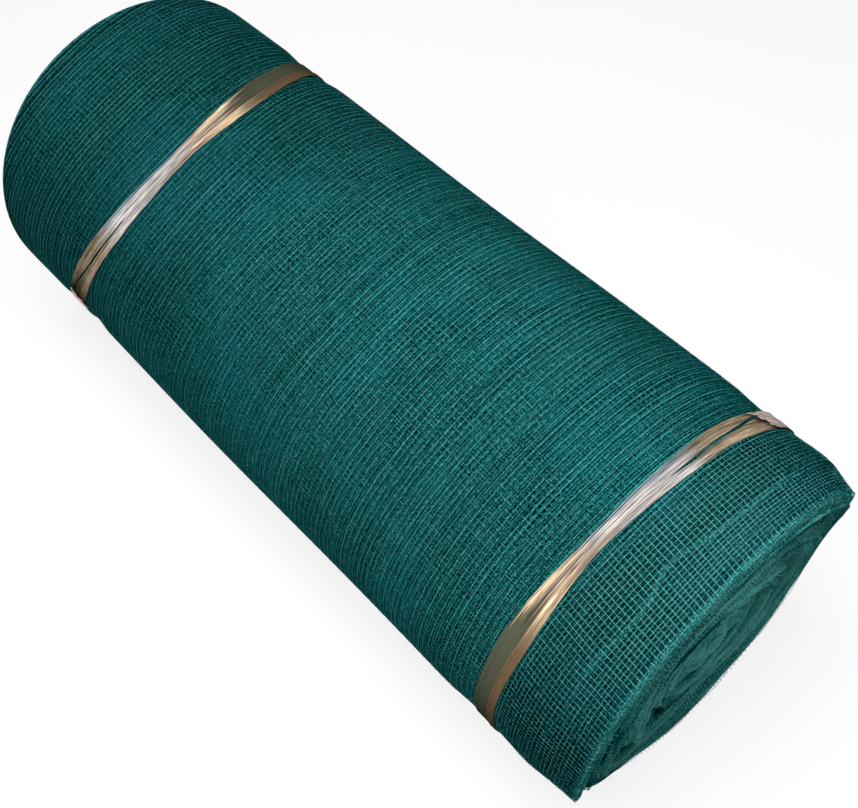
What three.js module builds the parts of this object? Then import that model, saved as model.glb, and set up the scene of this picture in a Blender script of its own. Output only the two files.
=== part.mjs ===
// Roll of olive harvesting net: a length of fine square mesh, folded lengthwise and wound up without a core.
// It lies on its side, pressed a little flat underneath, and two gathered tape ties hold it.
// Millimetres. +X runs along the roll from its far end to its near end, +Z is up, and the origin is on the
// floor under the middle. Angles round the roll are in degrees, from the top towards +Y.
import * as THREE from 'three';
import { mergeVertices } from 'three/addons/utils/BufferGeometryUtils.js';

// Driving dimensions
const rollLength = 1036;
const rollRadius = 215;
const flatDepth = 5; // how far the roll's weight presses its underside flat
const segments = 64; // facets round the roll and round each tie
const rowsBetweenTies = 7;
const axisHeight = rollRadius - flatDepth;
const halfLength = rollLength / 2;
const mergeTolerance = 0.001;

// Unevenness of the winding: waves round the roll, waves along it, height and start
const lumps = [
  { round: 2, along: 0, height: 1.2, start: 35 },
  { round: 3, along: 1, height: 0.8, start: 110 },
  { round: 1, along: 2, height: 0.7, start: 250 },
];
const lap = { thickness: 2, angle: 150, run: 340 }; // the outer turn's cut end, easing off round the roll

// Ties: the middle of the tape wanders along the roll as middle + lean * cos + bow * cos of twice the angle,
// and its course runs from the angle of its folded end, one way round or the other
const ties = [
  { name: 'tie_band_far', middle: -350, lean: 66, bow: 23, leanAngle: -20, fold: -108, way: 1, gather: 1 },
  { name: 'tie_band_near', middle: 395, lean: 13, bow: 0, leanAngle: 20, fold: 45, way: -1, gather: 0.76 },
];
const tapeThickness = 1.2;
const seatGap = 0.3; // between the tape and the net
const groove = { depth: 3, flat: 24, reach: 60, lift: 2.4 }; // the net drawn in under a tie, off the floor

// The tape's course from its folded end right round the roll: its width, the height of its bunched folds, the
// place of the split between its two strands as a share of the width, and the split's own width
const tapeCourse = [
  { at: 0, width: 31, bunch: 3.4, split: 0.32, gap: 1.5 },
  { at: 16, width: 35, bunch: 1.0, split: 0.32, gap: 3.0 },
  { at: 34, width: 35, bunch: 0.8, split: 0.48, gap: 3.0 },
  { at: 52, width: 31, bunch: 1.1, split: 0.6, gap: 1.5 },
  { at: 68, width: 26, bunch: 1.8, split: 0.55, gap: 1.5 },
  { at: 84, width: 20, bunch: 3.0, split: 0.5, gap: 1.5 },
  { at: 100, width: 27, bunch: 2.2, split: 0.5, gap: 1.5 },
  { at: 118, width: 40, bunch: 1.0, split: 0.6, gap: 1.5 },
  { at: 150, width: 37, bunch: 0.6, split: 0.6, gap: 1.5 },
  { at: 330, width: 34, bunch: 0.6, split: 0.5, gap: 1.5 },
  { at: 360, width: 31, bunch: 3.4, split: 0.32, gap: 1.5 },
];
const splitRun = { from: 14, to: 50 }; // the stretch of the course where the tape is split in two strands
// Bunched folds across the tape: their places as shares of the width, and shares of the bunch's height
const bunchFold = { far: { share: 0.2, stands: 1 }, near: { share: 0.8, stands: 0.8 }, atSplit: 0.3 };

// Ends: the rim rolls over, in shares of its size, and the turns show as a spiral of soft lips round an eye
const rimRows = [
  { back: 1.6, inset: 0 },
  { back: 0.55, inset: 0.23 },
  { back: 0, inset: 1 },
];
const lip = { pitch: 48, depth: 11, least: 0.5, rows: 5 }; // depth of the valleys, and its least share
const eye = { radius: 24, depth: 24 };
const ends = {
  far: { rim: 6, dish: 8, waves: 2, start: 40 },
  near: { rim: 8, dish: 14, waves: 3, start: 200 },
};
const nearTaper = { from: 423, drop: 8 }; // the loose turns past the near tie draw in
const nearSet = { depth: 25, middle: 0.4, faces: -23, full: 58, none: 130 }; // it stands out on one side

const radians = THREE.MathUtils.degToRad;
const { smoothstep, euclideanModulo, lerp } = THREE.MathUtils;

// Degrees between two directions round the roll, from 0 to 180
function apart(angle, other) {
  return Math.abs(euclideanModulo(angle - other + 180, 360) - 180);
}

// How far along the roll a tie's middle lies at an angle, from its mean place
function tieWander(tie, angle) {
  const turn = radians(angle - tie.leanAngle);
  return tie.lean * Math.cos(turn) + tie.bow * Math.cos(2 * turn);
}

// One where the net lies under a tie, falling to nothing at the groove's reach
function underTie(tie, along) {
  return 1 - smoothstep(Math.abs(along - tie.middle), groove.flat, groove.reach);
}

// How far the near end stands back at an angle, evening out from the rim to the middle of its face
function nearRecess(angle, size) {
  const atRim = smoothstep(apart(angle, nearSet.faces), nearSet.full, nearSet.none);
  return nearSet.depth * lerp(nearSet.middle, atRim, size);
}

// Rows of the winding move along the roll with the tie or the end that they belong to. Size is a point's
// share of the radius.
function rowShift(along, angle, size) {
  const [far, near] = ties;
  const between = near.middle - far.middle - 2 * groove.reach;
  let shift = 0;
  if (along < far.middle) {
    const room = far.middle - groove.reach + halfLength;
    shift = tieWander(far, angle) * Math.min(1, (along + halfLength) / room);
  } else if (along < near.middle) {
    const toNear = THREE.MathUtils.clamp((along - far.middle - groove.reach) / between, 0, 1);
    shift = lerp(tieWander(far, angle), tieWander(near, angle), toNear);
  } else {
    const toEnd = smoothstep(along, near.middle + groove.reach, halfLength);
    shift = lerp(tieWander(near, angle), -nearRecess(angle, size), toEnd);
  }
  return shift;
}

// Radius of the wound net at an angle, for the row that starts at a place along the roll
function radiusAt(angle, along) {
  const share = along / rollLength;
  let radius = rollRadius - nearTaper.drop * smoothstep(along, nearTaper.from, halfLength);
  for (const lump of lumps) {
    const turn = radians(lump.round * angle + 360 * lump.along * share + lump.start);
    radius += lump.height * Math.sin(turn);
  }
  radius += lap.thickness * Math.max(0, 1 - euclideanModulo(lap.angle - angle, 360) / lap.run);
  for (const tie of ties) {
    radius -= groove.depth * underTie(tie, along);
  }
  return radius;
}

// A point of the roll, pressed up where it would pass through its floor
function pressed(along, angle, radius, floor) {
  const turn = radians(angle);
  const height = axisHeight + radius * Math.cos(turn);
  return new THREE.Vector3(along, radius * Math.sin(turn), Math.max(height, floor));
}

function floorUnder(along) {
  return ties.reduce((floor, tie) => Math.max(floor, groove.lift * underTie(tie, along)), 0);
}

// How deep an end face lies behind its rim: the spiral's valleys, a shallow dish and the eye
function endDepth(end, inset, angle) {
  const share = inset / rollRadius;
  const turn = 2 * Math.PI * (inset / lip.pitch) - radians(angle);
  const uneven = lerp(lip.least, 1, 0.5 + 0.5 * Math.sin(radians(end.waves * angle + end.start)));
  const rimward = smoothstep(inset, 0, lip.pitch / 2);
  const eyeward = smoothstep(rollRadius - inset, eye.radius, 2 * eye.radius);
  const valley = lip.depth * uneven * rimward * eyeward * (0.5 - 0.5 * Math.cos(turn));
  const hollow = eye.depth * smoothstep(inset, rollRadius - 2 * eye.radius, rollRadius);
  return valley + end.dish * share * share + hollow;
}

// Half of the winding's outline: from the middle of one end along its face, out to the rim and over it
function endRows(end, sign) {
  const step = lip.pitch / lip.rows;
  const count = Math.floor((rollRadius - end.rim) / step);
  const face = [];
  for (let k = 0; k < count; k += 1) {
    face.push(new THREE.Vector2(k * step, sign * halfLength));
  }
  const turnover = rimRows.map(({ back, inset }) => {
    return new THREE.Vector2(rollRadius - inset * end.rim, sign * (halfLength - back * end.rim));
  });
  return face.concat(turnover.reverse());
}

// Places along the roll where its side has a row of points
function sideRows() {
  const rows = [];
  for (const tie of ties) {
    for (const offset of [-groove.reach, -groove.flat, 0, groove.flat, groove.reach]) {
      rows.push(tie.middle + offset);
    }
  }
  const [far, near] = ties;
  const start = far.middle + groove.reach;
  const step = (near.middle - groove.reach - start) / (rowsBetweenTies + 1);
  for (let k = 1; k <= rowsBetweenTies; k += 1) {
    rows.push(start + k * step);
  }
  rows.push((far.middle - groove.reach - halfLength) / 2);
  return rows.sort((a, b) => b - a).map((along) => new THREE.Vector2(rollRadius, along));
}

// The wound roll: a lathe outline whose points are then set by the winding's own rules
function windRoll() {
  const outline = [...endRows(ends.near, 1), ...sideRows(), ...endRows(ends.far, -1).reverse()];
  const lathe = new THREE.LatheGeometry(outline, segments);
  lathe.deleteAttribute('normal');
  lathe.deleteAttribute('uv');
  const roll = mergeVertices(lathe, mergeTolerance);
  const points = roll.getAttribute('position');
  for (let i = 0; i < points.count; i += 1) {
    const inset = rollRadius - Math.hypot(points.getX(i), points.getZ(i));
    const along = points.getY(i);
    const angle = THREE.MathUtils.radToDeg(Math.atan2(points.getX(i), points.getZ(i)));
    const size = 1 - inset / rollRadius;
    const radius = radiusAt(angle, along) * size;
    let place = along + rowShift(along, angle, size);
    if (Math.abs(along) === halfLength) {
      const end = along > 0 ? ends.near : ends.far;
      place -= Math.sign(along) * endDepth(end, inset - end.rim, angle);
    }
    const point = pressed(place, angle, radius, floorUnder(along));
    points.setXYZ(i, point.x, point.y, point.z);
  }
  roll.computeVertexNormals();
  return roll;
}

// The tape's course at so many degrees from its folded end
function courseAt(degrees) {
  const at = euclideanModulo(degrees, 360);
  const next = tapeCourse.findIndex((row) => row.at > at);
  const [a, b] = [tapeCourse[next - 1], tapeCourse[next]];
  const share = (at - a.at) / (b.at - a.at);
  const row = {};
  for (const key of Object.keys(a)) {
    row[key] = lerp(a[key], b[key], share);
  }
  return row;
}

// A closed band of tape: columns of points across the tape, inner and outer, at each facet round the roll
function bandTape(tie) {
  const columns = [];
  for (let i = 0; i < segments; i += 1) {
    const angle = (360 * i) / segments;
    const course = courseAt(tie.way * (angle - tie.fold));
    const width = course.width * tie.gather;
    const split = course.gap / width / 2;
    const seat = radiusAt(angle, tie.middle) + seatGap;
    const middle = tie.middle + tieWander(tie, angle);
    const across = [
      { share: 0, stands: 0 },
      bunchFold.far,
      { share: course.split - split, stands: bunchFold.atSplit },
      { share: course.split + split, stands: bunchFold.atSplit },
      bunchFold.near,
      { share: 1, stands: 0 },
    ];
    columns.push(across.map(({ share, stands }) => {
      const along = middle + width * (share - 0.5);
      const floor = groove.lift - seatGap;
      const thick = tapeThickness + stands * course.bunch;
      return {
        inner: pressed(along, angle, seat, floor),
        outer: pressed(along, angle, seat + thick, floor - tapeThickness),
      };
    }));
  }
  const splitColumn = 2;
  return closeBand(columns, (i, j) => {
    const course = euclideanModulo(tie.way * ((360 * (i + 0.5)) / segments - tie.fold), 360);
    return !(j === splitColumn && course > splitRun.from && course < splitRun.to);
  });
}

// Closed surface of a ring of cells: both faces of each solid cell, and a wall wherever a solid cell ends
function closeBand(columns, isSolid) {
  const rows = columns.length;
  const cells = columns[0].length - 1;
  const points = [];
  const quad = (a, b, c, d) => points.push(a, b, c, a, c, d);
  const solid = (i, j) => j >= 0 && j < cells && isSolid(euclideanModulo(i, rows), j);
  for (let i = 0; i < rows; i += 1) {
    const here = columns[i];
    const next = columns[(i + 1) % rows];
    for (let j = 0; j < cells; j += 1) {
      if (!solid(i, j)) {
        continue;
      }
      const [a, b, c, d] = [here[j], here[j + 1], next[j + 1], next[j]];
      quad(a.outer, b.outer, c.outer, d.outer);
      quad(d.inner, c.inner, b.inner, a.inner);
      if (!solid(i, j - 1)) {
        quad(d.outer, d.inner, a.inner, a.outer);
      }
      if (!solid(i, j + 1)) {
        quad(b.outer, b.inner, c.inner, c.outer);
      }
      if (!solid(i - 1, j)) {
        quad(a.outer, a.inner, b.inner, b.outer);
      }
      if (!solid(i + 1, j)) {
        quad(c.outer, c.inner, d.inner, d.outer);
      }
    }
  }
  const band = mergeVertices(new THREE.BufferGeometry().setFromPoints(points), mergeTolerance);
  band.computeVertexNormals();
  return band;
}

const netFinish = new THREE.MeshStandardMaterial({ color: 0x1d5e5d, roughness: 0.62, metalness: 0 });

const group = new THREE.Group();
const netRoll = new THREE.Mesh(windRoll(), netFinish);
netRoll.name = 'net_roll';
group.add(netRoll);
for (const tie of ties) {
  const tapeFinish = new THREE.MeshStandardMaterial({ color: 0xa0907a, roughness: 0.28, metalness: 0 });
  const band = new THREE.Mesh(bandTape(tie), tapeFinish);
  band.name = tie.name;
  group.add(band);
}

// The origin sits on the floor under the middle of the whole roll
const box = new THREE.Box3().setFromObject(group, true);
group.position.set(-(box.min.x + box.max.x) / 2, -(box.min.y + box.max.y) / 2, -box.min.z);

export default group;
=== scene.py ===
# Roll of olive harvesting net lying on its side: layers of fine yarn over the wound body, the edges of
# the turns on both ends, and two gathered tape ties. Sizes are in millimetres and angles in degrees,
# round the roll from the top towards +Y, unless a name says otherwise.
import math

import bmesh
import bpy
import numpy as np
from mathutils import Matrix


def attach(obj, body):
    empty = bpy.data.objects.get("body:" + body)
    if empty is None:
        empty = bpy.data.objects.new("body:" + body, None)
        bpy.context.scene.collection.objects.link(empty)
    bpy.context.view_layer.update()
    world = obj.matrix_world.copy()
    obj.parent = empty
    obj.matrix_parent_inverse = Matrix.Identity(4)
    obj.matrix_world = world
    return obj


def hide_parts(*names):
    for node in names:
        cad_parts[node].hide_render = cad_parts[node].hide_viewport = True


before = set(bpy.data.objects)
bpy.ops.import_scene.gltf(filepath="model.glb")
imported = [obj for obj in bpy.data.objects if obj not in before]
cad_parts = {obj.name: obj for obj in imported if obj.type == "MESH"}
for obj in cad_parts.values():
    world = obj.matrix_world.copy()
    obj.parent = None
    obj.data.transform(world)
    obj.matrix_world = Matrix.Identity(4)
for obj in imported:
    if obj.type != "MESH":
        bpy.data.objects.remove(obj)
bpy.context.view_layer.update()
scene = bpy.context.scene
scene.view_settings.view_transform = "Standard"
mm = 0.001

# The wound form that every piece follows
roll = {
    "radius": 215, "half": 518, "axis": 210,
    "offX": 0.19, "offY": -0.76,  # the frame's middle is that of the whole roll, ties included
    "taperFrom": 423, "taperDrop": 8,  # the loose turns past the near tie draw in
    "lapAngle": 150, "lapThick": 2, "lapRun": 340,  # the outer turn's cut end
    "drawn": 6, "drawnAt": 62, "drawnWidth": 30, "drawnFrom": 462,  # one side of the near end
    "eye": 24, "eyeDepth": 24,
    "skew": 2.4, "skewBase": 0.8, "skewAngle": -95,  # the far end stands a little askew
    "lipPitch": 48, "lipDepth": 11, "lipLeast": 0.5,
    "rimReach": 1.6, "rimPower": 2.5, "rimPast": 1.4,
}
lumps = [
    {"round": 2, "along": 0, "height": 1.2, "start": 35},
    {"round": 3, "along": 1, "height": 0.8, "start": 110},
    {"round": 1, "along": 2, "height": 0.7, "start": 250},
]
ends = {
    "far": {"sign": -1, "rim": 4, "dish": 8, "waves": 2, "start": 40, "bodyRim": 1.5, "sunk": 1.5,
            "first": 1.5, "skirt": 26, "rimShade": 0, "tone": 0.55},
    "near": {"sign": 1, "rim": 5, "dish": 14, "waves": 3, "start": 200, "bodyRim": 11, "sunk": 5.2,
             "first": 1, "skirt": 5, "rimShade": 0.6, "tone": 0.85},
}
nearSet = {"depth": 25, "middle": 0.4, "faces": -23, "full": 58, "none": 130}  # it stands out on one side
tips = {"at": (50, -108), "width": 13, "sharp": 0.75}  # where the near rim is hardly rounded
nick = {"depth": 12, "at": -124, "width": 9, "power": 4}  # the edge is caught up below the tip
# In each tie, fade scales the paint's lightness along the course and flapLight the flap's: painted light
# and shade
farTie = {
    "middle": -350, "lean": 66, "bow": 23, "leanAngle": -20, "fold": -108, "way": 1, "gather": 1,
    "ahead": 0, "quick": 0, "flapLight": 1.8,
    "off": [(0, -12), (10, -9), (16, -4), (22, -1), (34, 2.5), (52, 4.5), (88, 3), (118, 5), (134, 6),
            (150, 3), (200, 0), (330, -4), (360, -12)],
    "fade": [(0, 1), (16, 0.8), (30, 1.5), (54, 1.4), (64, 1.15), (106, 1), (112, 0.85), (138, 0.9),
             (156, 0.62), (330, 1), (360, 1)],
}
nearTie = {
    "middle": 395, "lean": 13, "bow": 0, "leanAngle": 20, "fold": 45, "way": -1, "gather": 0.76,
    "ahead": 4, "quick": 8, "flapLight": 1,  # the same course, a little further on in its turns
    "off": [(0, 3), (10, 2.5), (22, 0), (30, -1.2), (44, 0), (130, -1), (200, 0), (330, 2), (360, 3)],
    "fade": [(0, 1.3), (22, 1.45), (38, 1), (62, 1), (72, 1.4), (86, 1.2), (100, 1.5), (126, 1.4),
             (146, 0.7), (330, 1.2), (360, 1.3)],
}
groove = {"depth": 3, "flat": 24, "reach": 60, "lift": 2.4, "gap": 0.3}


def ease(x, low, high):
    t = np.clip((x - low) / (high - low), 0, 1)
    return t * t * (3 - 2 * t)


def between(a, b, t):
    return a + (b - a) * t


def apart(a, b):
    return np.abs((a - b + 180) % 360 - 180)


def stacked(*parts):
    return np.stack(np.broadcast_arrays(*parts), -1)


def tieWander(tie, a):
    turn = np.radians(a - tie["leanAngle"])
    return tie["lean"] * np.cos(turn) + tie["bow"] * np.cos(2 * turn)


def underTie(tie, along):
    return 1 - ease(np.abs(along - tie["middle"]), groove["flat"], groove["reach"])


def nearRecess(a, size):
    atRim = ease(apart(a, nearSet["faces"]), nearSet["full"], nearSet["none"])
    caught = nick["depth"] * np.exp(-(apart(a, nick["at"]) / nick["width"]) ** 2) * size ** nick["power"]
    return nearSet["depth"] * between(nearSet["middle"], atRim, size) + caught


# Rows move along the roll with the tie or the end that they belong to
def rowShift(a, along, size):
    far, near, half, reach = farTie["middle"], nearTie["middle"], roll["half"], groove["reach"]
    farWander, nearWander = tieWander(farTie, a), tieWander(nearTie, a)
    fromRim = np.clip((along + half) / (far - reach + half), 0, 1)
    skew = roll["skewBase"] + roll["skew"] * np.cos(np.radians(a - roll["skewAngle"]))
    beforeFar = between(-skew, farWander, fromRim)
    toNear = np.clip((along - far - reach) / (near - far - 2 * reach), 0, 1)
    middle = between(farWander, nearWander, toNear)
    pastNear = between(nearWander, -nearRecess(a, size), ease(along, near + reach, half))
    return np.where(along < far, beforeFar, np.where(along < near, middle, pastNear))


# The rounding of an end's rim, which is sharp at the near end's two tips
def rimCorner(end, a):
    blunt = 0
    for at in tips["at"]:
        blunt = blunt + np.exp(-(apart(a, at) / tips["width"]) ** 2)
    return end["rim"] * (1 - (tips["sharp"] if end["sign"] > 0 else 0) * blunt)


# How far the side draws in where it rolls over an end's rim
def rimDrop(along):
    total = 0
    for end in ends.values():
        run = roll["rimReach"] * end["rim"]
        t = np.clip((end["sign"] * along - roll["half"] + run) / run, 0, roll["rimPast"])
        total = total + end["rim"] * t ** roll["rimPower"]
    return total


def woundRadius(a, along):
    radius = roll["radius"] - roll["taperDrop"] * ease(along, roll["taperFrom"], roll["half"])
    drawn = roll["drawn"] * np.exp(-(apart(a, roll["drawnAt"]) / roll["drawnWidth"]) ** 2)
    radius = radius - drawn * ease(along, roll["drawnFrom"], roll["half"])
    for lump in lumps:
        turn = lump["round"] * a + 360 * lump["along"] * along / (2 * roll["half"]) + lump["start"]
        radius = radius + lump["height"] * np.sin(np.radians(turn))
    lapShare = 1 - ((roll["lapAngle"] - a) % 360) / roll["lapRun"]
    radius = radius + roll["lapThick"] * np.maximum(0, lapShare)
    return radius - groove["depth"] * (underTie(farTie, along) + underTie(nearTie, along))


def floorUnder(along):
    return groove["lift"] * np.maximum(underTie(farTie, along), underTie(nearTie, along))


# A point of the roll in metres: out is its height over the wound surface, back its way along from there
def rollPoint(a, along, out=0.0, back=0.0, size=1.0):
    radius = woundRadius(a, along) + out
    turn = np.radians(a)
    x = along + rowShift(a, along, size) + back + roll["offX"]
    y = radius * np.sin(turn) + roll["offY"]
    z = np.maximum(roll["axis"] + radius * np.cos(turn), floorUnder(along) - out)
    return stacked(x, y, z) * mm


# How deep an end face lies behind its rim: the spiral's valleys, a shallow dish and the eye
def endDepth(end, inset, a):
    turn = 2 * math.pi * inset / roll["lipPitch"] - np.radians(a)
    waves = 0.5 + 0.5 * np.sin(np.radians(end["waves"] * a + end["start"]))
    uneven = between(roll["lipLeast"], 1, waves)
    rimward = ease(inset, 0, roll["lipPitch"] / 2)
    eyeward = ease(roll["radius"] - inset, roll["eye"], 2 * roll["eye"])
    valley = roll["lipDepth"] * uneven * rimward * eyeward * (0.5 - 0.5 * np.cos(turn))
    hollow = roll["eyeDepth"] * ease(inset, roll["radius"] - 2 * roll["eye"], roll["radius"])
    return valley + end["dish"] * (inset / roll["radius"]) ** 2 + hollow


# Smooth uneven waves round and along the roll, about one in size
def ripple(a, along, seed, count=7, turns=6, reach=380):
    rng = np.random.default_rng(seed)
    total = 0
    for _ in range(count):
        waves = int(rng.integers(1, turns + 1))
        slope = rng.uniform(-1, 1) * 2 * math.pi / reach
        total = total + np.sin(np.radians(waves * a) + slope * along + rng.uniform(0, 2 * math.pi))
    return total / math.sqrt(count)


# Materials
def addNode(tree, kind, **settings):
    node = tree.nodes.new(kind)
    for name, value in settings.items():
        setattr(node, name, value)
    return node


def feed(tree, source, node, socket):
    if hasattr(source, "is_output"):
        tree.links.new(source, node.inputs[socket])
    else:
        node.inputs[socket].default_value = source


def maths(tree, operation, first, second=0.0, third=0.0):
    node = addNode(tree, "ShaderNodeMath", operation=operation)
    for k, value in enumerate((first, second, third)):
        feed(tree, value, node, k)
    return node.outputs[0]


def mixColours(tree, share, first, second):
    node = addNode(tree, "ShaderNodeMix", data_type="RGBA")
    feed(tree, share, node, 0)
    feed(tree, first, node, 6)  # the colours' own sockets
    feed(tree, second, node, 7)
    return node.outputs[2]


def rangeTo(tree, value, low, high, toLow=0.0, toHigh=1.0):
    node = addNode(tree, "ShaderNodeMapRange", interpolation_type="SMOOTHSTEP")
    for k, number in enumerate((value, low, high, toLow, toHigh)):
        feed(tree, number, node, k)
    return node.outputs[0]


def noiseAt(tree, vector, scale, detail=2.0, roughness=0.5):
    node = addNode(tree, "ShaderNodeTexNoise")
    feed(tree, vector, node, "Vector")
    feed(tree, scale, node, "Scale")
    feed(tree, detail, node, "Detail")
    feed(tree, roughness, node, "Roughness")
    return node.outputs["Fac"]


def partsOf(tree, vector):
    node = addNode(tree, "ShaderNodeSeparateXYZ")
    feed(tree, vector, node, 0)
    return node.outputs


def stretched(tree, course, scale):
    node = addNode(tree, "ShaderNodeMapping")
    feed(tree, scale, node, "Scale")
    feed(tree, course, node, "Vector")
    return node.outputs[0]


def addBump(tree, shader, height, distance):
    bump = addNode(tree, "ShaderNodeBump")
    feed(tree, distance, bump, "Distance")
    feed(tree, height, bump, "Height")
    feed(tree, bump.outputs[0], shader, "Normal")


def newGroup(name, inputs, outputs):
    group = bpy.data.node_groups.new(name, "ShaderNodeTree")
    for label, kind, value in inputs:
        socket = group.interface.new_socket(label, in_out="INPUT", socket_type=kind)
        socket.default_value = value
    for label, kind in outputs:
        group.interface.new_socket(label, in_out="OUTPUT", socket_type=kind)
    return group, group.nodes.new("NodeGroupInput"), group.nodes.new("NodeGroupOutput")


def placeGroup(tree, group, **values):
    node = addNode(tree, "ShaderNodeGroup", node_tree=group)
    for name, value in values.items():
        feed(tree, value, node, name)
    return node


colour = "NodeSocketColor"
number = "NodeSocketFloat"
teal = {
    "bright": (0.068, 0.258, 0.248, 1), "plain": (0.0013, 0.071, 0.070, 1),
    # the inner colours are the outer yarn's in painted shade, for the layers that lie under it
    "innerBrightShaded": (0.020, 0.197, 0.190, 1), "innerPlainShaded": (0.0005, 0.027, 0.028, 1),
    "edgeBright": (0.068, 0.258, 0.236, 1), "edgePlain": (0.0014, 0.078, 0.070, 1),  # edges are greener
    "blue": (0.0013, 0.068, 0.078, 1), "deep": (0.0004, 0.018, 0.020, 1),
    "black": (0.0001, 0.0034, 0.0045, 1),
}
dyeLook = {"driftScale": 7.0, "drift": (0.42, 0.68), "fleckScale": 650.0, "fleck": (0.3, 0.7)}
deepLook = {
    "first": {"Row pitch": 0.0061, "Column pitch": 0.0064, "Yarn share": 0.24},
    "second": {"Row pitch": 0.0047, "Column pitch": 0.0052, "Yarn share": 0.2},
    "secondShare": 0.5, "tone": 0.1, "share": 0.3, "bump": 0.0012,
}
edgeLook = {
    "grain": 300.0, "streak": (36.0, 620.0, 1.0), "bend": 0.006, "slopes": (0.8, -0.9), "pitch": 0.0036,
    # dim darkens the holes between the hatch's yarns as painted shade; low tones deepen into painted shade
    "yarn": (0.2, 0.34), "streakRange": (0.34, 0.66), "streakTone": 0.4, "fleck": 0.35, "paintedShade": 0.7,
    "lowRange": (-0.2, 0.25), "lowStreak": 0.3, "bump": 0.001,
}
tapeLook = {
    "crease": (5.0, 430.0, 1.0), "crinkle": (45.0, 820.0, 1.0),  # long creases and short crinkles
    "range": (0.36, 0.64), "creaseLight": (0.42, 1.45), "crinkleLight": (0.55, 1.45),
    "roughFrom": (0.2, 0.8), "rough": (0.2, 0.42), "bump": 0.0008,
}


# Teal yarn that drifts between a plainer and a bluer dye, and fades from yarn to yarn. A tone below nought
# darkens it towards black, which the pieces use for painted shade
def yarnDyeGroup():
    group, start, end = newGroup(
        "yarnDye",
        [("Tone", number, 0.5), ("Plain", colour, teal["plain"]), ("Bright", colour, teal["bright"]),
         ("Blue", colour, teal["blue"]), ("Fleck", number, 0.75)],
        [("Color", colour)],
    )
    place = addNode(group, "ShaderNodeTexCoord").outputs["Object"]
    drift = rangeTo(group, noiseAt(group, place, dyeLook["driftScale"], 3.0), *dyeLook["drift"])
    fleck = noiseAt(group, place, dyeLook["fleckScale"], 2.0)
    fleck = rangeTo(group, fleck, *dyeLook["fleck"], -1.0, 1.0)
    tone = maths(group, "MULTIPLY_ADD", fleck, start.outputs["Fleck"], start.outputs["Tone"])
    dyed = mixColours(group, drift, start.outputs["Plain"], start.outputs["Blue"])
    shade = mixColours(group, maths(group, "ADD", tone, 1.0), teal["black"], dyed)
    feed(group, mixColours(group, tone, shade, start.outputs["Bright"]), end, "Color")
    return group


# Lines of the deeper turns' mesh: rows of yarn round the roll and columns along it
def meshLinesGroup():
    group, start, end = newGroup(
        "meshLines",
        [(label, number, value) for label, value in deepLook["first"].items()],
        [("Lines", number)],
    )
    place = addNode(group, "ShaderNodeTexCoord").outputs["Object"]
    parts = partsOf(group, place)
    height = maths(group, "SUBTRACT", parts["Z"], roll["axis"] * mm)
    across = maths(group, "SUBTRACT", parts["Y"], roll["offY"] * mm)
    arc = maths(group, "MULTIPLY", maths(group, "ARCTAN2", across, height), roll["radius"] * mm)
    lines = []
    for value, pitch in ((parts["X"], "Row pitch"), (arc, "Column pitch")):
        share = maths(group, "FRACT", maths(group, "DIVIDE", value, start.outputs[pitch]))
        off = maths(group, "ABSOLUTE", maths(group, "SUBTRACT", share, 0.5))
        edge = maths(group, "DIVIDE", start.outputs["Yarn share"], 2.0)
        lines.append(maths(group, "LESS_THAN", off, edge))
    feed(group, maths(group, "MAXIMUM", *lines), end, "Lines")
    return group


def newMaterial(name, **sockets):
    material = bpy.data.materials.new(name)
    material.use_nodes = True
    tree = material.node_tree
    shader = tree.nodes["Principled BSDF"]
    for label, value in sockets.items():
        shader.inputs[label].default_value = value
    return material, tree, shader


def attributeOf(tree, name, output="Fac"):
    return addNode(tree, "ShaderNodeAttribute", attribute_name=name).outputs[output]


def yarnMaterial(name, dye, plain, bright):
    material, tree, shader = newMaterial(name, **{"Roughness": 0.6, "Specular IOR Level": 0.0})
    tone = attributeOf(tree, "yarnTone")
    tint = placeGroup(tree, dye, Tone=tone, Plain=plain, Bright=bright)
    feed(tree, tint.outputs["Color"], shader, "Base Color")
    return material


# The wound body's near-black teal is painted shade of the roll's depths, with the deeper turns' mesh lines
# faint in it
def deepMaterial(dye, lines):
    material, tree, shader = newMaterial("deepNet", **{"Roughness": 0.8, "Specular IOR Level": 0.0})
    first = placeGroup(tree, lines, **deepLook["first"])
    second = placeGroup(tree, lines, **deepLook["second"])
    fainter = maths(tree, "MULTIPLY", second.outputs[0], deepLook["secondShare"])
    either = maths(tree, "MAXIMUM", first.outputs[0], fainter)
    tint = placeGroup(tree, dye, Tone=deepLook["tone"])
    share = maths(tree, "MULTIPLY", either, deepLook["share"])
    shade = mixColours(tree, share, teal["black"], tint.outputs["Color"])
    feed(tree, shade, shader, "Base Color")
    addBump(tree, shader, either, deepLook["bump"])
    return material


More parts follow.
